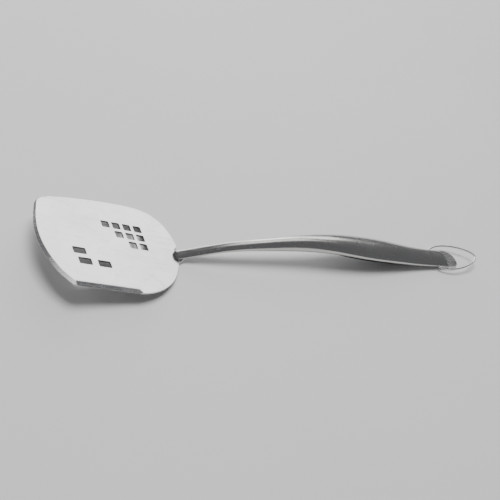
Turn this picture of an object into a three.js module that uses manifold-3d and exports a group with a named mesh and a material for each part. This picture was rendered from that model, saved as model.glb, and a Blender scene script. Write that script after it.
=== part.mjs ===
// Grill spatula: a perforated, serrated steel blade on a hollow formed steel
// handle, with a soft pad under the grip, an end tongue and a pivoting wire hang loop.
// Millimetres, +Z up. The spatula lies at rest: the heel of the blade and the
// underside of the handle's end touch z = 0, so the blade's front is lifted a little.

import * as THREE from 'three';
import { mergeVertices } from 'three/addons/utils/BufferGeometryUtils.js';
import Module from 'manifold-3d';

// ---------- driving dimensions ----------

// Blade. Its top face is z = 0 before the spatula is laid down, +X points to the handle.
const BLADE_THICKNESS = 1.5;
const HOLE_PITCH = 10.7;
const HOLE_SIDE = 7.5;
const HOLE_CORNER = 0.8;
const FIRST_ROW_Y = 26.2;                     // longest row of square drain holes
const SLOT_LENGTH = 11.9;
const SLOT_WIDTH = 7.2;
const SLOT_CENTRES = [[-51.6, -12.0], [-49.2, -23.5], [-31.2, -23.8]];

const SERRATED_Y = -51.9;                     // cutting edge, parallel to X
const SERRATED_FROM = -67.0;
const SERRATED_TO = -5.2;
const TEETH_LEAD_IN = 2.2;                    // plain edge before the first tooth
const TOOTH_COUNT = 25;
const TOOTH_DEPTH = 0.38;
const EDGE_BAND = 3.8;                        // width of the ground bevel beside the teeth
const EDGE_LAND = 0.35;                       // steel left at the sharp edge
const SCRAPER_BAND_FROM = 0.9;                // ground bevel along the blade's front,
const SCRAPER_BAND_TO = 4.4;                  // widest beside the serrated edge

// Tang: the strip that leaves the blade, steps up and runs into the handle's mouth.
// Each row is [x, centre z, half width].
const TANG_PATH = [
  [45.5, -0.75, 10.0],
  [47.6, -0.72, 8.7],
  [48.8, -0.35, 8.2],
  [50.2, 0.7, 7.3],
  [52.0, 2.2, 5.7],
  [53.3, 3.2, 4.6],
  [54.5, 4.1, 3.6],
  [60.0, 6.8, 3.5],
  [74.0, 12.9, 3.2],
];

// Handle. Stations are evenly spaced from the first one to the open end.
// Each row is [height of the axis, half width, half depth].
const FIRST_STATION_X = 55;
const STATION_STEP = 36;
const HANDLE_STATIONS = [
  [4.6, 5.3, 2.8],
  [20.3, 5.5, 3.4],
  [30.8, 6.4, 5.2],
  [40.0, 8.3, 6.7],
  [46.1, 11.7, 6.6],
  [48.6, 14.4, 6.0],
  [50.1, 14.1, 5.7],
  [51.3, 12.2, 4.5],
  [54.5, 10.8, 3.4],
];
const WALL = 1.0;
const RING_POINTS = 24;
const RING_COUNT = 29;

// The handle's closed nose rests over the blade's neck; each row is [x, inset].
// Its underside opens round the tang, and the lower lip of the tube starts further back.
const NOSE_RINGS = [
  [45.9, 1.9],
  [46.2, 1.1],
  [46.8, 0.45],
  [47.8, 0.1],
];
const TUBE_FROM = 49.5;
const CAVITY_FROM = 51;
const LOWER_LIP_ROW = 6;                      // row of TANG_PATH where the lower lip starts

// Grip pad, let into the underside of the handle.
const PAD_FROM = 190;
const PAD_TO = 308;
const PAD_HALF_WIDTH = 10.2;
const PAD_BULGE = 4.6;
const PAD_RINGS = 25;
const FIT_GAP = 0.3;

// End tongue.
const PLUG_LENGTH = 8;
const TONGUE_REACH = 16;
const TONGUE_HALF_WIDTH = 11.2;
const TONGUE_THICKNESS = 2.0;

// Hang loop, drawn flat: [distance from the pivot, half width].
const PIVOT_X = 330.6;
const PIVOT_HOLE_RADIUS = 1.35;
const WIRE_RADIUS = 1.0;
const LOOP_TILT_DEG = 15;
const LOOP_HALF = [
  [0, 8.2],
  [0, 11.4],
  [1.3, 13.0],
  [5, 14.5],
  [11, 16.0],
  [18, 16.2],
  [27, 15.0],
  [36, 12.2],
  [43.5, 8.6],
  [48.6, 4.6],
];
const LOOP_TIP = 51;

// ---------- materials ----------

function steel(colour, roughness) {
  return new THREE.MeshStandardMaterial({ color: colour, roughness, metalness: 1 });
}

const bladeSteel = steel(0xc9c9c7, 0.32);
const handleSteel = steel(0xa9a7a2, 0.34);
const tongueSteel = steel(0xb9b8b3, 0.3);
const wireSteel = steel(0xcfcfcb, 0.16);
const padRubber = new THREE.MeshStandardMaterial({ color: 0x101011, roughness: 0.75, metalness: 0 });

// ---------- solids ----------

const manifold = await Module();
manifold.setup();

function toSolid(geometry) {
  const bare = geometry.index ? geometry.clone() : geometry;
  bare.deleteAttribute('normal');
  bare.deleteAttribute('uv');
  const merged = mergeVertices(bare, 1e-4);
  return new manifold.Manifold(new manifold.Mesh({
    numProp: 3,
    vertProperties: new Float32Array(merged.attributes.position.array),
    triVerts: new Uint32Array(merged.index.array),
  }));
}

function toGeometry(solid) {
  const mesh = solid.getMesh();
  const geometry = new THREE.BufferGeometry();
  geometry.setAttribute('position', new THREE.BufferAttribute(mesh.vertProperties, 3));
  geometry.setIndex(new THREE.BufferAttribute(mesh.triVerts, 1));
  geometry.computeVertexNormals();
  return geometry;
}

// A closed skin through rings of equal length. Rings turn anticlockwise seen from
// the far end of the loft.
function loft(rings) {
  const count = rings[0].length;
  const positions = rings.flat().flatMap((p) => [p.x, p.y, p.z]);
  const index = [];
  for (let r = 0; r + 1 < rings.length; r += 1) {
    for (let k = 0; k < count; k += 1) {
      const a = r * count + k;
      const b = r * count + (k + 1) % count;
      index.push(a, b, b + count, a, b + count, a + count);
    }
  }
  const last = (rings.length - 1) * count;
  for (let k = 1; k + 1 < count; k += 1) {
    index.push(0, k + 1, k);
    index.push(last, last + k, last + k + 1);
  }
  const geometry = new THREE.BufferGeometry();
  geometry.setAttribute('position', new THREE.BufferAttribute(new Float32Array(positions), 3));
  geometry.setIndex(index);
  geometry.computeVertexNormals();
  return geometry;
}

function namedMesh(name, solid, material) {
  const mesh = new THREE.Mesh(toGeometry(solid), material);
  mesh.name = name;
  return mesh;
}

// ---------- handle curves ----------

const axisCurve = new THREE.SplineCurve(
  HANDLE_STATIONS.map((row, i) => new THREE.Vector2(FIRST_STATION_X + STATION_STEP * i, row[0])),
);
const sizeCurve = new THREE.SplineCurve(
  HANDLE_STATIONS.map((row) => new THREE.Vector2(row[1], row[2])),
);
const END_X = FIRST_STATION_X + STATION_STEP * (HANDLE_STATIONS.length - 1);

function handleAt(x) {
  const t = THREE.MathUtils.clamp((x - FIRST_STATION_X) / (END_X - FIRST_STATION_X), 0, 1);
  const centre = axisCurve.getPoint(t);
  const slope = axisCurve.getTangent(t);
  const size = sizeCurve.getPoint(t);
  const extra = (x - centre.x) * (slope.y / slope.x);
  return {
    centre: new THREE.Vector3(x, 0, centre.y + extra),
    up: new THREE.Vector3(-slope.y, 0, slope.x),
    halfWidth: size.x,
    halfDepth: size.y,
  };
}

function ringAt(x, inset) {
  const at = handleAt(x);
  const ring = [];
  for (let k = 0; k < RING_POINTS; k += 1) {
    const angle = 2 * Math.PI * k / RING_POINTS;
    const side = (at.halfWidth - inset) * Math.cos(angle);
    const lift = (at.halfDepth - inset) * Math.sin(angle);
    const point = at.centre.clone().addScaledVector(at.up, lift);
    point.y += side;
    ring.push(point);
  }
  return ring;
}

function handleBody(fromX, toX, count, inset, nose = []) {
  const rings = nose.map(([x, noseInset]) => ringAt(x, noseInset));
  for (let i = 0; i < count; i += 1) {
    rings.push(ringAt(THREE.MathUtils.lerp(fromX, toX, i / (count - 1)), inset));
  }
  return toSolid(loft(rings));
}

// ---------- blade ----------

function bladeOutline() {
  const shape = new THREE.Shape();
  shape.moveTo(SERRATED_FROM, SERRATED_Y);
  shape.lineTo(SERRATED_TO, SERRATED_Y);
  shape.bezierCurveTo(19.7, -49, 33.7, -34.5, 41.3, -21.5);
  shape.bezierCurveTo(44.3, -15.9, 46.6, -11.0, 48.2, -8.6);
  shape.lineTo(48.4, 8.6);
  shape.bezierCurveTo(49.6, 9.8, 52.9, 11.6, 52.6, 14.7);
  shape.bezierCurveTo(51.6, 30, 46.5, 45, 33.7, 50.9);
  shape.bezierCurveTo(24, 55.0, 14, 55.1, 2.9, 55.1);
  shape.bezierCurveTo(-15.7, 54.7, -42, 53.1, -67.1, 48.3);
  shape.bezierCurveTo(-74.5, 46.8, -77.6, 43.0, -79.8, 37.2);
  shape.bezierCurveTo(-84.5, 21.7, -94.3, -3.1, -79.6, -35.2);
  shape.bezierCurveTo(-76.6, -42.4, -71.4, -47.2, SERRATED_FROM, SERRATED_Y);
  return shape;
}

function roundedHole(x, y, length, width) {
  const points = [];
  for (let corner = 0; corner < 4; corner += 1) {
    const right = corner === 0 || corner === 3 ? 1 : -1;
    const far = corner < 2 ? 1 : -1;
    for (let k = 0; k < 3; k += 1) {
      const angle = (corner + k / 2) * Math.PI / 2;
      points.push(new THREE.Vector2(
        x + right * (length / 2 - HOLE_CORNER) + HOLE_CORNER * Math.cos(angle),
        y + far * (width / 2 - HOLE_CORNER) + HOLE_CORNER * Math.sin(angle),
      ));
    }
  }
  return new THREE.Path(points);
}

// Three rows of square drain holes, four, three and two long, aligned at the handle side.
function drainHoles() {
  const holes = [];
  for (let row = 0; row < 3; row += 1) {
    const y = FIRST_ROW_Y - HOLE_PITCH * row;
    for (let k = 0; k < 4 - row; k += 1) {
      holes.push(roundedHole(HOLE_PITCH * (1.5 - k), y, HOLE_SIDE, HOLE_SIDE));
    }
  }
  for (const [x, y] of SLOT_CENTRES) {
    holes.push(roundedHole(x, y, SLOT_LENGTH, SLOT_WIDTH));
  }
  return holes;
}

function bladePlate() {
  const shape = bladeOutline();
  shape.holes.push(...drainHoles());
  const plate = new THREE.ExtrudeGeometry(shape, {
    depth: BLADE_THICKNESS,
    bevelEnabled: false,
    curveSegments: 7,
  });
  plate.translate(0, 0, -BLADE_THICKNESS);
  return toSolid(plate);
}

// Cross-section of a strip that follows the tang, square to its run.
function tangRing(i, halfWidth, above, below) {
  const [x, z] = TANG_PATH[i];
  const before = TANG_PATH[Math.max(i - 1, 0)];
  const after = TANG_PATH[Math.min(i + 1, TANG_PATH.length - 1)];
  const run = new THREE.Vector2(after[0] - before[0], after[1] - before[1]).normalize();
  const corner = (side, lift) => new THREE.Vector3(x - run.y * lift, side, z + run.x * lift);
  return [
    corner(halfWidth, above),
    corner(-halfWidth, above),
    corner(-halfWidth, -below),
    corner(halfWidth, -below),
  ];
}

function tang() {
  const half = BLADE_THICKNESS / 2 - 0.05;
  const rings = TANG_PATH.map((row, i) => tangRing(i, row[2], half, half));
  rings[0].forEach((p) => p.setX(TANG_PATH[0][0]));
  return toSolid(loft(rings));
}

// Room for the tang and everything below it, as far back as the handle's lower lip.
function tangRoom() {
  const above = BLADE_THICKNESS / 2 + FIT_GAP;
  const rings = TANG_PATH.slice(0, LOWER_LIP_ROW + 1).map((row, i) => tangRing(i, 20, above, 7));
  rings[0].forEach((p) => p.setX(TANG_PATH[0][0] - 5));
  return toSolid(loft(rings));
}

// The wedge of steel ground away beside the serrated edge, on the top face.
function serratedBevel() {
  const rings = [SERRATED_FROM + 1.2, SERRATED_TO].map((x) => [
    new THREE.Vector3(x, SERRATED_Y + EDGE_BAND + 2, bevelHeight(EDGE_BAND + 2)),
    new THREE.Vector3(x, SERRATED_Y - 2, bevelHeight(EDGE_BAND + 2)),
    new THREE.Vector3(x, SERRATED_Y - 2, bevelHeight(-2)),
  ]);
  return toSolid(loft(rings));
}

// Height of the ground face at a distance inwards from the edge.
function bevelHeight(inwards) {
  return -(BLADE_THICKNESS - EDGE_LAND) * (1 - inwards / EDGE_BAND);
}

// One V groove between two teeth, running down the ground face.
function toothGroove(x, pitch) {
  const half = pitch * 0.46;
  const ring = (inwards) => {
    const y = SERRATED_Y + inwards;
    const z = bevelHeight(inwards);
    return [
      new THREE.Vector3(x, y, z - TOOTH_DEPTH),
      new THREE.Vector3(x + half * 1.5, y, z + TOOTH_DEPTH * 0.5),
      new THREE.Vector3(x - half * 1.5, y, z + TOOTH_DEPTH * 0.5),
    ];
  };
  return toSolid(loft([ring(EDGE_BAND + 3), ring(-2)]));
}

// The wedge ground away along the curved front of the blade.
function scraperBevel() {
  const front = new THREE.Path();
  front.moveTo(-67.1, 48.3);
  front.bezierCurveTo(-74.5, 46.8, -77.6, 43.0, -79.8, 37.2);
  front.bezierCurveTo(-84.5, 21.7, -94.3, -3.1, -79.6, -35.2);
  front.bezierCurveTo(-76.6, -42.4, -71.4, -47.2, SERRATED_FROM, SERRATED_Y);
  const steps = 30;
  const rings = [];
  for (let i = 0; i <= steps; i += 1) {
    const t = i / steps;
    const p = front.getPointAt(t);
    const along = front.getTangentAt(t);
    const inwards = new THREE.Vector2(-along.y, along.x);
    const band = THREE.MathUtils.lerp(SCRAPER_BAND_FROM, SCRAPER_BAND_TO, t);
    const drop = (BLADE_THICKNESS - EDGE_LAND) / band;
    const at = (d, z) => new THREE.Vector3(p.x + inwards.x * d, p.y + inwards.y * d, z);
    rings.push([at(band + 1, drop), at(-0.8, drop), at(-0.8, -drop * (band + 0.8))]);
  }
  return toSolid(loft(rings));
}

function blade() {
  let solid = bladePlate().add(tang());
  solid = solid.subtract(serratedBevel());
  solid = solid.subtract(scraperBevel());
  const firstTooth = SERRATED_FROM + TEETH_LEAD_IN;
  const pitch = (SERRATED_TO - firstTooth) / TOOTH_COUNT;
  for (let k = 0; k < TOOTH_COUNT; k += 1) {
    solid = solid.subtract(toothGroove(firstTooth + pitch * (k + 0.5), pitch));
  }
  return solid;
}

// ---------- handle, pad, tongue ----------

// Cross-section of the pad at x. It is drawn as a rounded tub below the axis.
function padRing(x, grow) {
  const at = handleAt(x);
  const span = (x - PAD_FROM) / (PAD_TO - PAD_FROM);
  const swell = Math.sqrt(Math.max(1 - (2 * span - 1) ** 2, 0));
  const halfWidth = Math.max(PAD_HALF_WIDTH * swell, 0.4) + grow;
  const top = -at.halfDepth * 0.35;
  const bottom = -at.halfDepth - PAD_BULGE * swell + 0.6 - grow;
  const ring = [];
  const arcPoints = 10;
  ring.push([halfWidth, top]);
  for (let k = 0; k <= arcPoints; k += 1) {
    const angle = Math.PI * k / arcPoints;
    const side = Math.sign(Math.cos(angle)) * Math.abs(Math.cos(angle)) ** 0.7;
    ring.push([halfWidth * side, THREE.MathUtils.lerp(top - 1, bottom, Math.sin(angle) ** 0.7)]);
  }
  ring.push([-halfWidth, top]);
  return ring.reverse().map(([side, lift]) => {
    const point = at.centre.clone().addScaledVector(at.up, lift);
    point.y += side;
    return point;
  });
}

function padSolid(grow) {
  const rings = [];
  for (let i = 0; i < PAD_RINGS; i += 1) {
    const span = (1 - Math.cos(Math.PI * i / (PAD_RINGS - 1))) / 2;
    rings.push(padRing(THREE.MathUtils.lerp(PAD_FROM - grow, PAD_TO + grow, span), grow));
  }
  return toSolid(loft(rings));
}

function acrossHandle(radius) {
  const pin = new THREE.CylinderGeometry(radius, radius, 40, 20);
  const pivot = handleAt(PIVOT_X).centre;
  pin.translate(pivot.x, 0, pivot.z);
  return toSolid(pin);
}

function handleShell() {
  const outside = handleBody(TUBE_FROM, END_X, RING_COUNT, 0, NOSE_RINGS);
  const inside = handleBody(CAVITY_FROM, END_X + 2, RING_COUNT, WALL);
  const tube = outside.subtract(inside).subtract(tangRoom());
  return tube.subtract(padSolid(FIT_GAP)).subtract(acrossHandle(PIVOT_HOLE_RADIUS));
}

function endTongue() {
  const plug = handleBody(END_X - PLUG_LENGTH, END_X + 0.6, 4, WALL + FIT_GAP);
  const at = handleAt(END_X);
  const shape = new THREE.Shape();
  shape.moveTo(0.4, -TONGUE_HALF_WIDTH);
  shape.lineTo(3, -TONGUE_HALF_WIDTH);
  shape.bezierCurveTo(13, -TONGUE_HALF_WIDTH, TONGUE_REACH, -6, TONGUE_REACH, 0);
  shape.bezierCurveTo(TONGUE_REACH, 6, 13, TONGUE_HALF_WIDTH, 3, TONGUE_HALF_WIDTH);
  shape.lineTo(0.4, TONGUE_HALF_WIDTH);
  shape.closePath();
  const plate = new THREE.ExtrudeGeometry(shape, {
    depth: TONGUE_THICKNESS,
    bevelEnabled: false,
    curveSegments: 10,
  });
  plate.translate(0, 0, -TONGUE_THICKNESS / 2);
  plate.rotateY(Math.atan2(at.up.x, at.up.z));
  plate.translate(END_X, 0, at.centre.z);
  return plug.add(toSolid(plate));
}

function hangLoop() {
  const half = LOOP_HALF.map(([s, h]) => new THREE.Vector3(s, -h, 0));
  const other = LOOP_HALF.map(([s, h]) => new THREE.Vector3(s, h, 0)).reverse();
  const path = new THREE.CatmullRomCurve3(
    [...half, new THREE.Vector3(LOOP_TIP, 0, 0), ...other], false, 'centripetal',
  );
  const section = new THREE.Shape();
  section.absarc(0, 0, WIRE_RADIUS, 0, 2 * Math.PI, false);
  const wire = new THREE.ExtrudeGeometry(section, {
    steps: 56,
    curveSegments: 5,
    extrudePath: path,
    bevelEnabled: false,
  });
  const pivot = handleAt(PIVOT_X).centre;
  wire.rotateY(-THREE.MathUtils.degToRad(LOOP_TILT_DEG));
  wire.translate(pivot.x, 0, pivot.z);
  return toSolid(wire);
}

// ---------- assembly ----------

function restAngle() {
  const end = handleAt(END_X);
  const endLow = end.centre.clone().addScaledVector(end.up, -end.halfDepth);
  const heel = new THREE.Vector3(52.4, 0, -BLADE_THICKNESS);
  return Math.atan2(endLow.z - heel.z, endLow.x - heel.x);
}

const laid = new THREE.Group();
laid.rotation.y = restAngle();
laid.add(namedMesh('blade', blade(), bladeSteel));
laid.add(namedMesh('handle_shell', handleShell(), handleSteel));
laid.add(namedMesh('grip_pad', padSolid(0), padRubber));
laid.add(namedMesh('end_tongue', endTongue(), tongueSteel));
laid.add(namedMesh('hang_loop', hangLoop(), wireSteel));

// The origin is the middle of the footprint, on the floor.
const bounds = new THREE.Box3().setFromObject(laid, true);
const middle = bounds.getCenter(new THREE.Vector3());
laid.position.set(-middle.x, -middle.y, -bounds.min.z);

const spatula = new THREE.Group();
spatula.add(laid);

export default spatula;
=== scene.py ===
import math

import bmesh
import bpy
import numpy as np
from mathutils import Matrix, Vector
from mathutils.geometry import delaunay_2d_cdt


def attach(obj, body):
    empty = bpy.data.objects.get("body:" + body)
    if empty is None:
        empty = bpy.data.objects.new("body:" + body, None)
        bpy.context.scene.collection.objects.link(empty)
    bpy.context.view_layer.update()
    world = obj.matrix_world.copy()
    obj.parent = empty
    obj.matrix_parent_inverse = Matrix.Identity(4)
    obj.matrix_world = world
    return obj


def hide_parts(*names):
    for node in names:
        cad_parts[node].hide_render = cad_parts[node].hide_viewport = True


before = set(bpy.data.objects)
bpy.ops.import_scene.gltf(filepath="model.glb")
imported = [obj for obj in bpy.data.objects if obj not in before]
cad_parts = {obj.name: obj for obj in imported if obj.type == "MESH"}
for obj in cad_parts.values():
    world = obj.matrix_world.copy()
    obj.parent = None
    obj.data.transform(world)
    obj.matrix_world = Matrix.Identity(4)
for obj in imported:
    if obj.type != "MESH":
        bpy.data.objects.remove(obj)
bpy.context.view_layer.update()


# The pieces are drawn in the blade's own frame in millimetres: the blade's top face is z = 0
# and +X runs to the handle. LAID puts the spatula down on the floor, in metres.
MM = 0.001
REST_ANGLE = math.radians(10.251882)
REST_SHIFT = Vector((-150.2014, -1.6, 10.8389)) * MM
LAID = Matrix.Translation(REST_SHIFT) @ Matrix.Rotation(REST_ANGLE, 4, "Y")

# ---------------------------------------------------------------- mesh helpers


def make_object(name, verts_mm, faces, material, smooth_deg=30.0, uvs=None):
    mesh = bpy.data.meshes.new(name)
    mesh.from_pydata([tuple(c * MM for c in v) for v in verts_mm], [], faces)
    if uvs is not None:
        layer = mesh.uv_layers.new(name="grain")
        loop_verts = np.zeros(len(mesh.loops), np.int32)
        mesh.loops.foreach_get("vertex_index", loop_verts)
        layer.data.foreach_set("uv", (np.array(uvs, np.float32)[loop_verts] * MM).ravel())
    mesh.validate()
    mesh.update()
    mesh.polygons.foreach_set("use_smooth", [True] * len(mesh.polygons))
    mesh.set_sharp_from_angle(angle=math.radians(smooth_deg))
    mesh.materials.append(material)
    obj = bpy.data.objects.new(name, mesh)
    bpy.context.scene.collection.objects.link(obj)
    obj.matrix_world = LAID
    return obj


def loft_faces(ring_count, points):
    """Quads between rings of points, with a flat cap at each end."""
    faces = []
    for r in range(ring_count - 1):
        for k in range(points):
            a = r * points + k
            b = r * points + (k + 1) % points
            faces.append((a, b, b + points, a + points))
    last = (ring_count - 1) * points
    faces.append(tuple(reversed(range(points))))
    faces.append(tuple(range(last, last + points)))
    return faces


def flipped(faces):
    return [tuple(reversed(f)) for f in faces]


def run_length(points):
    """Distance along a polyline, from its first point."""
    steps = np.linalg.norm(np.diff(points, axis=0), axis=1)
    return np.concatenate([[0], np.cumsum(steps)])


def tangents(points):
    along = np.gradient(points, axis=0)
    return along / np.linalg.norm(along, axis=1)[:, None]


def bezier(p0, p1, p2, p3, count):
    t = np.linspace(0, 1, count, endpoint=False)[:, None]
    p0, p1, p2, p3 = (np.array(p, float) for p in (p0, p1, p2, p3))
    u = 1 - t
    return u ** 3 * p0 + 3 * u ** 2 * t * p1 + 3 * u * t * t * p2 + t ** 3 * p3


def line(p0, p1, count):
    t = np.linspace(0, 1, count, endpoint=False)[:, None]
    return np.array(p0, float) * (1 - t) + np.array(p1, float) * t


def inward(points):
    """Unit normals to the left of a closed anticlockwise outline."""
    step = np.roll(points, -1, 0) - np.roll(points, 1, 0)
    step /= np.linalg.norm(step, axis=1)[:, None]
    return np.stack([-step[:, 1], step[:, 0]], 1)


def natural_spline(x, y):
    """Cubic spline through evenly spaced points, as a function."""
    n, h = len(x), x[1] - x[0]
    a = np.zeros((n, n))
    b = np.zeros(n)
    a[0, 0] = a[-1, -1] = 1
    for i in range(1, n - 1):
        a[i, i - 1:i + 2] = h, 4 * h, h
        b[i] = 6 * ((y[i + 1] - y[i]) - (y[i] - y[i - 1])) / h
    m = np.linalg.solve(a, b)

    def at(v, slope=False):
        i = np.clip(((v - x[0]) / h).astype(int), 0, n - 2)
        t = v - x[i]
        c1 = (y[i + 1] - y[i]) / h - h * (2 * m[i] + m[i + 1]) / 6
        c3 = (m[i + 1] - m[i]) / (6 * h)
        if slope:
            return c1 + m[i] * t + 3 * c3 * t * t
        return y[i] + c1 * t + m[i] / 2 * t * t + c3 * t ** 3

    return at


# ---------------------------------------------------------------- materials


class Nodes:
    """Small helper to wire a node material."""

    def __init__(self, name):
        self.material = bpy.data.materials.new(name)
        self.material.use_nodes = True
        self.tree = self.material.node_tree
        self.shader = self.tree.nodes["Principled BSDF"]

    def add(self, kind, **settings):
        node = self.tree.nodes.new(kind)
        for key, value in settings.items():
            setattr(node, key, value)
        return node

    def link(self, source, target):
        self.tree.links.new(source, target)

    def coordinates(self, source, scale):
        """Scaled coordinates. Object ones are turned into the blade's own frame first."""
        where = self.add("ShaderNodeTexCoord")
        mapping = self.add("ShaderNodeMapping")
        mapping.inputs["Scale"].default_value = scale
        vector = where.outputs[source]
        if source == "Object":
            upright = self.add("ShaderNodeVectorRotate", rotation_type="EULER_XYZ")
            upright.inputs["Rotation"].default_value = (0, -REST_ANGLE, 0)
            self.link(vector, upright.inputs["Vector"])
            vector = upright.outputs["Vector"]
        self.link(vector, mapping.inputs["Vector"])
        return mapping.outputs["Vector"]

    def noise(self, vector, detail=3.0, roughness=0.55, distortion=0.0):
        node = self.add("ShaderNodeTexNoise")
        node.inputs["Scale"].default_value = 1.0
        node.inputs["Detail"].default_value = detail
        node.inputs["Roughness"].default_value = roughness
        node.inputs["Distortion"].default_value = distortion
        self.link(vector, node.inputs["Vector"])
        return node.outputs["Fac"]

    def ramp(self, value, stops):
        node = self.add("ShaderNodeValToRGB")
        while len(node.color_ramp.elements) < len(stops):
            node.color_ramp.elements.new(0.5)
        for element, (place, colour) in zip(node.color_ramp.elements, stops):
            element.position = place
            element.color = (*colour, 1)
        self.link(value, node.inputs["Fac"])
        return node.outputs["Color"]

    def spread(self, value, low, high, from_low=0.3, from_high=0.7):
        node = self.add("ShaderNodeMapRange")
        node.inputs["From Min"].default_value = from_low
        node.inputs["From Max"].default_value = from_high
        node.inputs["To Min"].default_value = low
        node.inputs["To Max"].default_value = high
        self.link(value, node.inputs["Value"])
        return node.outputs["Result"]

    def maths(self, operation, a, b):
        node = self.add("ShaderNodeMath", operation=operation)
        for socket, value in zip(node.inputs, (a, b)):
            if isinstance(value, (int, float)):
                socket.default_value = value
            else:
                self.link(value, socket)
        return node.outputs["Value"]

    def bump(self, height, strength, distance, below=None):
        node = self.add("ShaderNodeBump")
        node.inputs["Strength"].default_value = strength
        node.inputs["Distance"].default_value = distance
        self.link(height, node.inputs["Height"])
        if below is not None:
            self.link(below, node.inputs["Normal"])
        return node.outputs["Normal"]


def brushed_steel(name, source, tint, rough, grain_scale, grain, anisotropy, strength=0.25):
    """Satin steel. Grain runs along the first axis of the source coordinates."""
    n = Nodes(name)
    s = n.shader
    s.inputs["Metallic"].default_value = 1.0
    fine = n.noise(n.coordinates(source, grain_scale), 4.0, 0.7)
    long_scale = tuple(c * 0.22 for c in grain_scale)
    broad = n.noise(n.coordinates(source, long_scale), 3.0, 0.6)
    cloud = n.noise(n.coordinates(source, (14, 14, 14)), 4.0, 0.6, 0.4)
    smear = n.noise(n.coordinates(source, (55, 70, 60)), 5.0, 0.65, 1.2)
    dark = tuple(c * 0.90 for c in tint)
    light = tuple(min(1.0, c * 1.04) for c in tint)
    mix = n.maths("ADD", n.maths("MULTIPLY", fine, 0.45), n.maths("MULTIPLY", cloud, 0.55))
    n.link(n.ramp(mix, [(0.36, dark), (0.62, light)]), s.inputs["Base Color"])
    streak = n.spread(fine, -grain, grain)
    soft = n.spread(smear, -0.035, 0.045, 0.35, 0.75)
    band = n.spread(broad, -grain * 0.6, grain * 0.6)
    total = n.maths("ADD", n.maths("ADD", streak, soft), n.maths("ADD", band, rough))
    n.link(total, s.inputs["Roughness"])
    s.inputs["Anisotropic"].default_value = anisotropy
    waves = n.bump(cloud, 0.03, 0.001)
    n.link(n.bump(fine, strength, 0.00002, waves), s.inputs["Normal"])
    return n.material


def polished_wire():
    n = Nodes("wire_polished")
    s = n.shader
    s.inputs["Metallic"].default_value = 1.0
    drawn = n.noise(n.coordinates("UV", (60, 9000, 1)), 3.0, 0.6)
    rub = n.noise(n.coordinates("Object", (160, 160, 160)), 4.0, 0.6)
    colour = n.ramp(rub, [(0.35, (0.74, 0.735, 0.72)), (0.65, (0.86, 0.857, 0.845))])
    n.link(colour, s.inputs["Base Color"])
    rough = n.maths("ADD", n.spread(drawn, -0.04, 0.05), n.spread(rub, 0.12, 0.2))
    n.link(rough, s.inputs["Roughness"])
    n.link(n.bump(drawn, 0.15, 0.00001), s.inputs["Normal"])
    return n.material


def soft_rubber():
    n = Nodes("pad_rubber")
    s = n.shader
    grain = n.add("ShaderNodeTexVoronoi")
    grain.inputs["Scale"].default_value = 1.0
    n.link(n.coordinates("Object", (1700, 1700, 1700)), grain.inputs["Vector"])
    dust = n.noise(n.coordinates("Object", (90, 90, 90)), 5.0, 0.65, 0.5)
    wear = n.noise(n.coordinates("Object", (900, 900, 900)), 3.0)
    colour = n.ramp(dust, [(0.4, (0.008, 0.008, 0.009)), (0.75, (0.021, 0.021, 0.022))])
    n.link(colour, s.inputs["Base Color"])
    rough = n.maths("ADD", n.spread(dust, -0.06, 0.08), n.spread(wear, 0.52, 0.68))
    n.link(rough, s.inputs["Roughness"])
    s.inputs["Specular IOR Level"].default_value = 0.42
    n.link(n.bump(grain.outputs["Distance"], 0.35, 0.00006), s.inputs["Normal"])
    return n.material


def pale_floor():
    n = Nodes("floor_pale")
    s = n.shader
    speck = n.noise(n.coordinates("Object", (3, 3, 3)), 4.0)
    colour = n.ramp(speck, [(0.3, (0.745, 0.745, 0.74)), (0.7, (0.765, 0.765, 0.76))])
    n.link(colour, s.inputs["Base Color"])
    s.inputs["Roughness"].default_value = 0.55
    s.inputs["Specular IOR Level"].default_value = 0.25
    return n.material


BLADE_STEEL = brushed_steel(
    "blade_steel", "Object", (0.78, 0.778, 0.768), 0.25, (90, 3800, 400), 0.045, 0.35)
# Dark, rough steel for the drain-hole walls: its dark tint is painted shade inside the holes.
HOLE_WALL_SHADE_STEEL = brushed_steel(
    "hole_wall_painted_shade", "Object", (0.16, 0.157, 0.15), 0.5, (900, 900, 3000), 0.05, 0.0)
# The handle's steel is tinted darker than the blade's: painted shade on the same steel.
HANDLE_SHADED_STEEL = brushed_steel(
    "handle_steel", "UV", (0.60, 0.592, 0.575), 0.24, (25, 2600, 1), 0.03, 0.4, 0.08)
# The tongue's steel is tinted a little darker than the blade's: painted shade on the same steel.
TONGUE_SHADED_STEEL = brushed_steel(
    "tongue_steel", "Object", (0.74, 0.735, 0.72), 0.27, (120, 3600, 400), 0.05, 0.2)
WIRE = polished_wire()
RUBBER = soft_rubber()

# ---------------------------------------------------------------- blade

THICK = 1.5
LAND = 0.35
EDGE_Y = -51.9
EDGE_FROM, EDGE_TO = -67.0, -5.2
EDGE_BAND = 3.8
TEETH = 25
TOOTH_DEPTH = 0.38
SCRAPER_FROM, SCRAPER_TO = 0.9, 4.4
HOLE_PITCH, HOLE_SIDE, FIRST_ROW_Y = 10.7, 7.5, 26.2
SLOT_SIZE = (11.9, 7.2)
SLOT_CENTRES = ((-51.6, -12.0), (-49.2, -23.5), (-31.2, -23.8))
TOOTH_FROM = EDGE_FROM + 2.2
TOOTH_PITCH = (EDGE_TO - TOOTH_FROM) / TEETH


def front_curve(count):
    return np.concatenate([
        bezier((-67.1, 48.3), (-74.5, 46.8), (-77.6, 43.0), (-79.8, 37.2), count // 4),
        bezier((-79.8, 37.2), (-84.5, 21.7), (-94.3, -3.1), (-79.6, -35.2), count // 2),
        bezier((-79.6, -35.2), (-76.6, -42.4), (-71.4, -47.2), (EDGE_FROM, EDGE_Y), count // 4),
        [[EDGE_FROM, EDGE_Y]],
    ])


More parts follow.
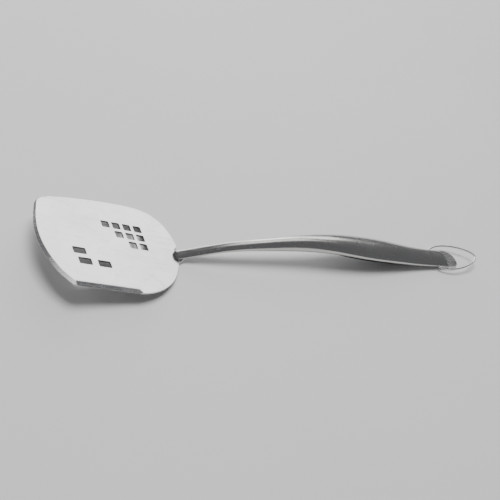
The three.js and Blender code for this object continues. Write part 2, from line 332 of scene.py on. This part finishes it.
def blade_outline():
    """Anticlockwise, starting at the serrated edge."""
    teeth = [(EDGE_FROM, EDGE_Y)]
    for k in range(TEETH):
        x = TOOTH_FROM + TOOTH_PITCH * k
        teeth += [(x, EDGE_Y), (x + TOOTH_PITCH / 2, EDGE_Y)]
    teeth.append((EDGE_TO - 0.02, EDGE_Y))
    rest = np.concatenate([
        bezier((EDGE_TO, EDGE_Y), (19.7, -49), (33.7, -34.5), (41.3, -21.5), 34),
        bezier((41.3, -21.5), (44.3, -15.9), (46.6, -11.0), (48.2, -8.6), 14),
        line((48.2, -8.6), (48.4, 8.6), 6),
        bezier((48.4, 8.6), (49.6, 9.8), (52.9, 11.6), (52.6, 14.7), 10),
        bezier((52.6, 14.7), (51.6, 30), (46.5, 45), (33.7, 50.9), 32),
        bezier((33.7, 50.9), (24, 55.0), (14, 55.1), (2.9, 55.1), 14),
        bezier((2.9, 55.1), (-15.7, 54.7), (-42, 53.1), (-67.1, 48.3), 26),
        front_curve(72)[:-1],
    ])
    return np.concatenate([np.array(teeth), rest])


FRONT = front_curve(400)
FRONT_T = run_length(FRONT)
FRONT_T /= FRONT_T[-1]


def front_drop(points):
    """How far the ground front face lies below the top face, zero away from it."""
    gap = np.linalg.norm(points[:, None] - FRONT[None], axis=2)
    near = gap.argmin(1)
    band = SCRAPER_FROM + (SCRAPER_TO - SCRAPER_FROM) * FRONT_T[near]
    return np.maximum(0, (THICK - LAND) * (1 - gap.min(1) / band))


def serrated_drop(points):
    """The same for the serrated side, with a V groove between each two teeth."""
    slope = (THICK - LAND) / EDGE_BAND
    inside = points[:, 1] - EDGE_Y
    phase = (points[:, 0] - TOOTH_FROM) / TOOTH_PITCH
    groove = np.abs(phase - np.floor(phase) - 0.5) * 2
    groove = np.where((phase >= 0) & (phase <= TEETH + 1e-6), 1 - groove, 0)
    drop = (THICK - LAND) - slope * inside + TOOTH_DEPTH * groove
    fade = np.clip((points[:, 0] - EDGE_FROM - 1.2) / 1.8, 0, 1)
    within = (points[:, 0] < EDGE_TO) & (points[:, 0] > EDGE_FROM)
    return np.where(within, np.maximum(0, drop) * fade, 0)


def top_height(points):
    return -np.minimum(np.maximum(front_drop(points), serrated_drop(points)), THICK - 0.12)


def rounded_hole(x, y, length, width, corner=0.8, steps=7):
    points = []
    for c in range(4):
        right = 1 if c in (0, 3) else -1
        far = 1 if c < 2 else -1
        for k in range(steps):
            angle = (c + k / (steps - 1)) * math.pi / 2
            points.append((x + right * (length / 2 - corner) + corner * math.cos(angle),
                           y + far * (width / 2 - corner) + corner * math.sin(angle)))
    return np.array(points[::-1])


def drain_holes():
    holes = []
    for row in range(3):
        for k in range(4 - row):
            x, y = HOLE_PITCH * (1.5 - k), FIRST_ROW_Y - HOLE_PITCH * row
            holes.append(rounded_hole(x, y, HOLE_SIDE, HOLE_SIDE))
    for x, y in SLOT_CENTRES:
        holes.append(rounded_hole(x, y, *SLOT_SIZE))
    return holes


# Rings of a plate's rim: how far inwards, and how far below the top or above the bottom.
RIM_TOP = [(0.17, 0.0), (0.09, -0.02), (0.03, -0.07), (0.0, -0.15)]
RIM_BOTTOM = [(0.0, 0.12), (0.04, 0.05), (0.1, 0.015), (0.18, 0.0)]


def plate(outer, holes, thickness, top, creases=()):
    """A flat plate with softened rims. top gives the height of the top face at points."""
    loops = [outer, *holes]
    verts, faces = [], []
    for points in loops:
        normal = inward(points)
        start, count = len(verts), len(points)
        rim_height = top(points)
        room = np.minimum(1.0, (thickness + rim_height) / 0.45)
        for inset, drop in RIM_TOP:
            p = points + normal * inset
            z = top(p) if inset == RIM_TOP[0][0] else rim_height + drop * room
            verts += [(a, b, c) for (a, b), c in zip(p, np.broadcast_to(z, count))]
        for inset, lift in RIM_BOTTOM:
            p = points + normal * inset
            verts += [(a, b, -thickness + lift * r) for (a, b), r in zip(p, room)]
        rings = len(RIM_TOP) + len(RIM_BOTTOM)
        for r in range(rings - 1):
            for k in range(count):
                a, b = start + r * count + k, start + r * count + (k + 1) % count
                faces.append((a, a + count, b + count, b))
    for side in (0, 1):
        flat, edges = [], []
        inset = RIM_TOP[0][0] if side == 0 else RIM_BOTTOM[-1][0]
        for points in loops:
            base = len(flat)
            p = points + inward(points) * inset
            flat += [Vector(q) for q in p]
            edges += [(base + k, base + (k + 1) % len(p)) for k in range(len(p))]
        if side == 0:
            for crease in creases:
                base = len(flat)
                flat += [Vector(q) for q in crease]
                edges += [(base + k, base + k + 1) for k in range(len(crease) - 1)]
        out, _, tris, *_ = delaunay_2d_cdt(flat, edges, [], 0, 1e-5)
        xy = np.array([tuple(v) for v in out])
        keep = [t for t in tris if is_material(xy[list(t)].mean(0), loops, inset)]
        z = top(xy) if side == 0 else np.full(len(xy), -thickness)
        base = len(verts)
        verts += [(a, b, c) for (a, b), c in zip(xy, np.broadcast_to(z, len(xy)))]
        for t in keep:
            faces.append(tuple(base + i for i in (t if side == 0 else reversed(t))))
    return verts, faces


def is_material(point, loops, inset):
    """Even-odd test against the inset outlines."""
    count = 0
    for points in loops:
        p = points + inward(points) * inset
        q = np.roll(p, -1, 0)
        crosses = (p[:, 1] > point[1]) != (q[:, 1] > point[1])
        with np.errstate(divide="ignore", invalid="ignore"):
            x = p[:, 0] + (point[1] - p[:, 1]) * (q[:, 0] - p[:, 0]) / (q[:, 1] - p[:, 1])
        count += int((crosses & (x > point[0])).sum())
    return count % 2 == 1


def blade_creases():
    """Lines along which the top face of the blade bends."""
    front = front_curve(120)
    along = tangents(front)
    normal = np.stack([-along[:, 1], along[:, 0]], 1)
    share = run_length(front)
    share /= share[-1]
    band = SCRAPER_FROM + (SCRAPER_TO - SCRAPER_FROM) * share
    lines = [(front + normal * band[:, None])[2:-7]]
    slope = (THICK - LAND) / EDGE_BAND
    reach = EDGE_BAND + TOOTH_DEPTH / slope
    zigzag = [(TOOTH_FROM, EDGE_Y + EDGE_BAND)]
    for k in range(TEETH):
        x = TOOTH_FROM + TOOTH_PITCH * k
        middle = (x + TOOTH_PITCH / 2, EDGE_Y + reach)
        after = (x + TOOTH_PITCH, EDGE_Y + EDGE_BAND)
        zigzag += [middle, after]
        lines.append(np.array([(middle[0], EDGE_Y + 0.18), middle]))
        if k:
            lines.append(np.array([(x, EDGE_Y + 0.18), (x, EDGE_Y + EDGE_BAND)]))
    zigzag[-1] = (EDGE_TO - 0.05, EDGE_Y + EDGE_BAND)
    lines.append(np.array(zigzag))
    return lines


def cluster(verts, faces, tolerance=1e-4):
    """Joins points that lie on each other."""
    keys, remap, kept = {}, [], []
    for v in verts:
        key = tuple(round(c / tolerance) for c in v)
        if key not in keys:
            keys[key] = len(kept)
            kept.append(v)
        remap.append(keys[key])
    joined = [tuple(remap[i] for i in f) for f in faces]
    return kept, [f for f in joined if len(set(f)) == len(f)]


def paint_hole_wall_shade(obj, holes):
    """Gives the walls of the drain holes dark, rough steel: painted shade inside the holes."""
    obj.data.materials.append(HOLE_WALL_SHADE_STEEL)
    middles = [h.mean(0) * MM for h in holes]
    for face in obj.data.polygons:
        if abs(face.normal.z) > 0.75:
            continue
        x, y, _ = face.center
        if min(math.hypot(x - m[0], y - m[1]) for m in middles) < 0.008:
            face.material_index = 1


def build_blade():
    holes = drain_holes()
    verts, faces = plate(blade_outline(), holes, THICK, top_height, blade_creases())
    verts, faces = cluster(verts, faces)
    blade = make_object("blade_plate", verts, faces, BLADE_STEEL, 7.0)
    paint_hole_wall_shade(blade, holes)
    return blade


# Middle line of the tang and its half width: x, z, half width.
TANG_ROUNDING = 0.3
TANG = np.array([
    [45.5, -0.75, 10.0], [47.6, -0.72, 8.6], [48.8, -0.35, 8.2], [50.2, 0.7, 7.3], [52.0, 2.2, 5.7],
    [53.3, 3.2, 4.6], [54.5, 4.1, 3.6], [60.0, 6.8, 3.5], [74.0, 12.9, 3.2],
])


def tang_line(steps, rows):
    share = np.linspace(0, 1, steps) * (rows - 1)
    return (natural_spline(np.arange(len(TANG), dtype=float), TANG[:, i])(share) for i in range(3))


def direction(x, z, i):
    """Unit direction of the middle line at its point i."""
    j, k = max(i - 1, 0), min(i + 1, len(x) - 1)
    return Vector((x[k] - x[j], z[k] - z[j])).normalized()


def tang_room():
    """Cutter for the tube: the tang and everything below it, as far as the lower lip."""
    steps = 40
    x, z, _ = tang_line(steps, 7)
    x[0] -= 6
    verts = []
    for i in range(steps):
        run = direction(x, z, i)
        for side, lift in ((20, 0.74), (-20, 0.74), (-20, -6.5), (20, -6.5)):
            verts.append((x[i] - run.y * lift, side, z[i] + run.x * lift))
    return make_object("tang_room", verts, loft_faces(steps, 4), HANDLE_SHADED_STEEL)


def build_tang():
    steps = 70
    x, z, w = tang_line(steps, len(TANG))
    half = THICK / 2 - 0.03
    profile = []
    for corner, (sx, sz) in enumerate(((1, 1), (-1, 1), (-1, -1), (1, -1))):
        for k in range(5):
            angle = math.radians(90 * corner + 22.5 * k)
            profile.append((sx, sz, math.cos(angle), math.sin(angle)))
    verts = []
    for i in range(steps):
        run = direction(x, z, i)
        for sx, sz, c, s in profile:
            side = sx * (w[i] - TANG_ROUNDING) + TANG_ROUNDING * c
            lift = sz * (half - TANG_ROUNDING) + TANG_ROUNDING * s
            verts.append((x[i] - run.y * lift, side, z[i] + run.x * lift))
    faces = flipped(loft_faces(steps, len(profile)))
    return make_object("blade_tang", verts, faces, BLADE_STEEL, 40.0)


# ---------------------------------------------------------------- handle

NOSE_X, CAVITY_X, FIRST_X, END_X = 45.9, 51.0, 55.0, 343.0
NOSE_ROUND_LENGTH, NOSE_ROUND_INSET = 2.4, 1.9
WALL = 1.0
STATION_STEP = 36.0
# At each station: height of the middle, half width, half depth. One row lies before FIRST_X.
STATIONS = np.array([
    [-11.1, 5.3, 2.8], [4.6, 5.3, 2.8], [20.3, 5.5, 3.4], [30.8, 6.4, 5.2], [40.0, 8.3, 6.7],
    [46.1, 11.7, 6.6], [48.6, 14.4, 6.0], [50.1, 14.1, 5.7], [51.3, 12.2, 4.5], [54.5, 10.8, 3.4],
    [57.7, 9.9, 2.7],
])
STATION_X = FIRST_X + STATION_STEP * (np.arange(len(STATIONS)) - 1)
AXIS_Z, HALF_WIDTH, HALF_DEPTH = (natural_spline(STATION_X, STATIONS[:, i]) for i in range(3))


def handle_frame(x):
    """Centre, up direction, half width and half depth of the handle at x."""
    x = np.atleast_1d(np.asarray(x, float))
    z, slope = AXIS_Z(x), AXIS_Z(x, True)
    size = np.sqrt(1 + slope ** 2)
    centre = np.stack([x, 0 * x, z], 1)
    up = np.stack([-slope / size, 0 * x, 1 / size], 1)
    return centre, up, HALF_WIDTH(x), HALF_DEPTH(x)


def handle_rings(xs, points, inset):
    centre, up, a, b = handle_frame(xs)
    angle = 2 * np.pi * np.arange(points) / points
    side = (a - inset)[:, None] * np.cos(angle)
    lift = (b - inset)[:, None] * np.sin(angle)
    ring = centre[:, None] + up[:, None] * lift[..., None]
    ring[..., 1] += side
    return ring


def length_uv(xs, points, radius=11.0):
    """Grain coordinates: distance along the handle and around it."""
    return [(x, 2 * math.pi * radius * k / points) for x in xs for k in range(points)]


def nose_inset(x, nose_end):
    share = (nose_end - x) / NOSE_ROUND_LENGTH
    return NOSE_ROUND_INSET * (1 - math.sqrt(1 - share ** 2))


def build_shell(cutters):
    points = 96
    nose = np.linspace(NOSE_X, NOSE_X + NOSE_ROUND_LENGTH, 12)
    rings = [handle_rings([x], points, nose_inset(x, nose[-1])) for x in nose]
    xs = list(nose)
    along = np.linspace(nose[-1] + 0.3, END_X - 0.5, 270)
    rings.append(handle_rings(along, points, 0.0))
    xs += list(along)
    for inset, x in ((0.02, END_X - 0.3), (0.1, END_X - 0.12), (0.25, END_X - 0.02), (0.4, END_X)):
        rings.append(handle_rings([x], points, inset))
        xs.append(x)
    rings = np.concatenate(rings)
    uvs = length_uv(xs, points)
    shell = make_object("handle_body", rings.reshape(-1, 3), loft_faces(len(rings), points),
                        HANDLE_SHADED_STEEL, 40.0, uvs)
    inner_x = np.linspace(CAVITY_X, END_X + 2, 150)
    inner = handle_rings(inner_x, points, WALL).reshape(-1, 3)
    hollow = make_object("hollow", inner, loft_faces(len(inner_x), points),
                         HANDLE_SHADED_STEEL, 40.0, length_uv(inner_x, points))
    for cutter in (hollow, *cutters):
        fix_normals(cutter)
        cut(shell, cutter)
    shell.data.set_sharp_from_angle(angle=math.radians(40))
    return shell


def cut(obj, cutter):
    """Takes the cutter out of obj for good, and removes the cutter."""
    modifier = obj.modifiers.new("cut", "BOOLEAN")
    modifier.operation = "DIFFERENCE"
    modifier.solver = "EXACT"
    modifier.object = cutter
    depsgraph = bpy.context.evaluated_depsgraph_get()
    made = bpy.data.meshes.new_from_object(obj.evaluated_get(depsgraph))
    obj.modifiers.clear()
    obj.data = made
    bpy.data.objects.remove(cutter)


PIVOT = Vector((330.6, 0, 53.2956))
PIVOT_HOLE_RADIUS = 1.35


def pivot_cutter():
    points = 40
    angles = np.linspace(0, 2 * math.pi, points, endpoint=False)
    ring = [(PIVOT.x + PIVOT_HOLE_RADIUS * math.cos(t), PIVOT.z + PIVOT_HOLE_RADIUS * math.sin(t))
            for t in angles]
    verts = [(x, y, z) for y in (-25, 25) for x, z in ring]
    return make_object("pivot_cutter", verts, flipped(loft_faces(2, points)), HANDLE_SHADED_STEEL)


# ---------------------------------------------------------------- grip pad

PAD_FROM, PAD_TO = 190.0, 308.0
PAD_HALF_WIDTH, PAD_BULGE = 10.2, 4.6


def pad_object(name, grow, rings, arc):
    """The pad, or with some growth the cutter for its recess."""
    share = (1 - np.cos(np.linspace(0, math.pi, rings))) / 2
    xs = PAD_FROM - grow + (PAD_TO - PAD_FROM + 2 * grow) * share
    centre, up, a, b = handle_frame(xs)
    verts = []
    for i, x in enumerate(xs):
        span = np.clip((x - PAD_FROM) / (PAD_TO - PAD_FROM), 0, 1)
        swell = math.sqrt(max(1 - (2 * span - 1) ** 2, 0))
        half = max(PAD_HALF_WIDTH * swell, 0.4) + grow
        top = -b[i] * 0.35
        bottom = -b[i] - PAD_BULGE * swell + 0.6 - grow
        ring = [(half, top)]
        for k in range(arc + 1):
            angle = math.pi * k / arc
            side = math.copysign(abs(math.cos(angle)) ** 0.7, math.cos(angle))
            lift = (top - 1) + (bottom - top + 1) * math.sin(angle) ** 0.7
            ring.append((half * side, lift))
        ring.append((-half, top))
        for side, lift in ring:
            p = centre[i] + up[i] * lift
            verts.append((p[0], side, p[2]))
    return make_object(name, verts, flipped(loft_faces(rings, arc + 3)), RUBBER, 50.0)


# ---------------------------------------------------------------- end tongue

TONGUE_REACH, TONGUE_HALF, TONGUE_THICK = 16.0, 11.2, 2.0


def build_tongue():
    outer = np.concatenate([
        line((0.4, -TONGUE_HALF), (3, -TONGUE_HALF), 5),
        bezier((3, -TONGUE_HALF), (13, -TONGUE_HALF), (TONGUE_REACH, -6), (TONGUE_REACH, 0), 36),
        bezier((TONGUE_REACH, 0), (TONGUE_REACH, 6), (13, TONGUE_HALF), (3, TONGUE_HALF), 36),
        line((3, TONGUE_HALF), (0.4, TONGUE_HALF), 5),
        line((0.4, TONGUE_HALF), (0.4, -TONGUE_HALF), 20),
    ])
    verts, faces = plate(outer, [], TONGUE_THICK, lambda p: np.zeros(len(p)))
    verts, faces = cluster(verts, faces)
    centre, up, *_ = handle_frame(END_X)
    up = up[0]
    placed = []
    for s, y, z in verts:
        lift = z + TONGUE_THICK / 2
        x = END_X + s * up[2] + lift * up[0]
        placed.append((x, y, centre[0][2] - s * up[0] + lift * up[2]))
    tongue = make_object("tongue_plate", placed, faces, TONGUE_SHADED_STEEL, 7.0)
    xs = np.array([END_X - 8, END_X - 7.6, END_X - 0.2, END_X + 0.25, END_X + 0.5])
    insets = (1.9, 1.35, 1.3, 1.45, 1.9)
    rings = np.concatenate([handle_rings([x], 72, i) for x, i in zip(xs, insets)])
    plug = make_object("tongue_plug", rings.reshape(-1, 3), loft_faces(len(xs), 72),
                       TONGUE_SHADED_STEEL, 35.0)
    return tongue, plug


# ---------------------------------------------------------------- hang loop

WIRE_RADIUS = 1.0
LOOP_TILT = math.radians(15)
LOOP_TIP = 51.0
LOOP_HALF = [(0, 8.2), (0, 11.4), (1.3, 13.0), (5, 14.5), (11, 16.0), (18, 16.2), (27, 15.0),
             (36, 12.2), (43.5, 8.6), (48.6, 4.6)]


def centripetal(points, per_span):
    """Smooth curve through points, the centripetal Catmull-Rom kind."""
    p = [2 * points[0] - points[1], *points, 2 * points[-1] - points[-2]]
    out = []
    for i in range(1, len(p) - 2):
        t = [0.0]
        for j in range(i - 1, i + 2):
            t.append(t[-1] + np.linalg.norm(p[j + 1] - p[j]) ** 0.5)
        for u in np.linspace(t[1], t[2], per_span, endpoint=False):
            a = [((t[k + 1] - u) * p[i - 1 + k] + (u - t[k]) * p[i + k]) / (t[k + 1] - t[k])
                 for k in range(3)]
            b = [((t[k + 2] - u) * a[k] + (u - t[k]) * a[k + 1]) / (t[k + 2] - t[k])
                 for k in range(2)]
            out.append(((t[2] - u) * b[0] + (u - t[1]) * b[1]) / (t[2] - t[1]))
    out.append(points[-1])
    return np.array(out)


def loop_path():
    """Middle line of the wire, in the loop's own plane, from one bent end to the other."""
    half = [(s, -h) for s, h in LOOP_HALF]
    other = [(s, h) for s, h in reversed(LOOP_HALF)]
    path = centripetal(np.array(half + [(LOOP_TIP, 0.0)] + other), 22)
    for _ in range(24):
        path[1:-1] = path[1:-1] * 0.5 + (path[:-2] + path[2:]) * 0.25
    return path


def build_loop():
    path = loop_path()
    along = tangents(path)
    distance = run_length(path)
    c, s = math.cos(LOOP_TILT), math.sin(LOOP_TILT)
    sides, ends = 20, (0.35, 0.75, 0.95)
    rows = [(0, r) for r in ends] + [(i, 1.0) for i in range(len(path))]
    rows += [(len(path) - 1, r) for r in reversed(ends)]
    verts, uvs = [], []
    for i, r in rows:
        for k in range(sides):
            t = 2 * math.pi * k / sides
            off = WIRE_RADIUS * r * math.cos(t)
            lift = WIRE_RADIUS * r * math.sin(t)
            u = path[i, 0] - along[i, 1] * off
            y = path[i, 1] + along[i, 0] * off
            verts.append((PIVOT.x + u * c - lift * s, y, PIVOT.z + u * s + lift * c))
            uvs.append((distance[i], WIRE_RADIUS * t))
    faces = flipped(loft_faces(len(rows), sides))
    return make_object("hang_wire", verts, faces, WIRE, 50.0, uvs)


# ---------------------------------------------------------------- assemble


def fix_normals(obj):
    """Faces point outwards, whatever way round they were listed."""
    work = bmesh.new()
    work.from_mesh(obj.data)
    bmesh.ops.recalc_face_normals(work, faces=work.faces)
    work.to_mesh(obj.data)
    work.free()


def lay_down(obj):
    """Puts the resting place into the mesh, so that the object itself sits at the origin."""
    obj.data.transform(LAID)
    obj.matrix_world = Matrix.Identity(4)


def main():
    blade = build_blade()
    tang = build_tang()
    pad = pad_object("grip_pad_soft", 0.0, 90, 36)
    cutter = pad_object("pad_cutter", 0.2, 60, 28)
    for obj in (tang, pad):
        fix_normals(obj)
    shell = build_shell((cutter, pivot_cutter(), tang_room()))
    tongue, plug = build_tongue()
    wire = build_loop()
    for obj in (plug, wire):
        fix_normals(obj)
    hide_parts("blade")
    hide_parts("handle_shell")
    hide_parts("grip_pad")
    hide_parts("end_tongue")
    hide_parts("hang_loop")
    for obj in (blade, tang, shell, pad, tongue, plug, wire):
        lay_down(obj)
    slots = {blade: "blade_steel", tang: "blade_steel", shell: "handle_steel", pad: "pad_rubber",
             tongue: "tongue_steel", plug: "tongue_steel", wire: "wire_steel"}
    for obj, name in slots.items():
        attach(obj, "loop" if obj is wire else "spatula")


main()

# ---------------------------------------------------------------- floor, light, camera


def add_floor():
    """A floor just below the piece, so that the two never lie in one plane."""
    mesh = bpy.data.meshes.new("floor")
    r = 6.0
    mesh.from_pydata([(-r, -r, 0), (r, -r, 0), (r, r, 0), (-r, r, 0)], [], [(0, 1, 2, 3)])
    mesh.materials.append(pale_floor())
    floor = bpy.data.objects.new("floor", mesh)
    floor.location.z = -0.0002
    bpy.context.scene.collection.objects.link(floor)


def add_area(name, place, target, size_x, size_y, power):
    light = bpy.data.lights.new(name, "AREA")
    light.shape = "RECTANGLE"
    light.size, light.size_y = size_x, size_y
    light.energy = power
    lamp = bpy.data.objects.new(name, light)
    lamp.location = place
    lamp.rotation_euler = (Vector(target) - Vector(place)).to_track_quat("-Z", "Y").to_euler()
    bpy.context.scene.collection.objects.link(lamp)
    return lamp


def add_lights():
    add_area("back_panel", (0.969, 1.34, 0.97), (-0.155, 0, 0.02), 0.85, 0.72, 5.2)
    add_area("upper_panel", (0.66, 0.8, 1.66), (-0.155, 0, 0.02), 0.9, 0.6, 3.2)
    add_area("far_strip", (0.35, 1.95, 0.55), (0, 0, 0.02), 1.3, 1.0, 11)
    overhead = add_area("overhead", (-0.3, 0.5, 2.4), (0, 0, 0), 1.4, 1.4, 62)
    overhead.visible_glossy = False
    world = bpy.data.worlds.new("studio")
    world.use_nodes = True
    background = world.node_tree.nodes["Background"]
    background.inputs["Color"].default_value = (0.93, 0.95, 1.0, 1)
    background.inputs["Strength"].default_value = 0.17
    bpy.context.scene.world = world


# Camera in the blade's own frame, and its focal length over the picture's width.
CAMERA_PLACE = Vector((-471.509, -592.309, 518.664))
CAMERA_LOOK = Vector((0.604651, 0.610109, -0.512020))
CAMERA_UP = Vector((-0.139405, 0.713986, 0.686142))
FOCAL_OVER_WIDTH = 1078.94 / 500.0


def add_camera():
    place = LAID @ (CAMERA_PLACE * MM)
    look = LAID.to_3x3() @ CAMERA_LOOK.normalized()
    up = LAID.to_3x3() @ CAMERA_UP.normalized()
    right = look.cross(up).normalized()
    up = right.cross(look)
    camera = bpy.data.cameras.new("camera")
    camera.sensor_width = 36.0
    camera.lens = camera.sensor_width * FOCAL_OVER_WIDTH
    camera.clip_end = 50.0
    view = bpy.data.objects.new("camera", camera)
    turn = Matrix((right, up, -look)).transposed().to_4x4()
    view.matrix_world = Matrix.Translation(place) @ turn
    bpy.context.scene.collection.objects.link(view)
    bpy.context.scene.camera = view


add_floor()
add_lights()
add_camera()
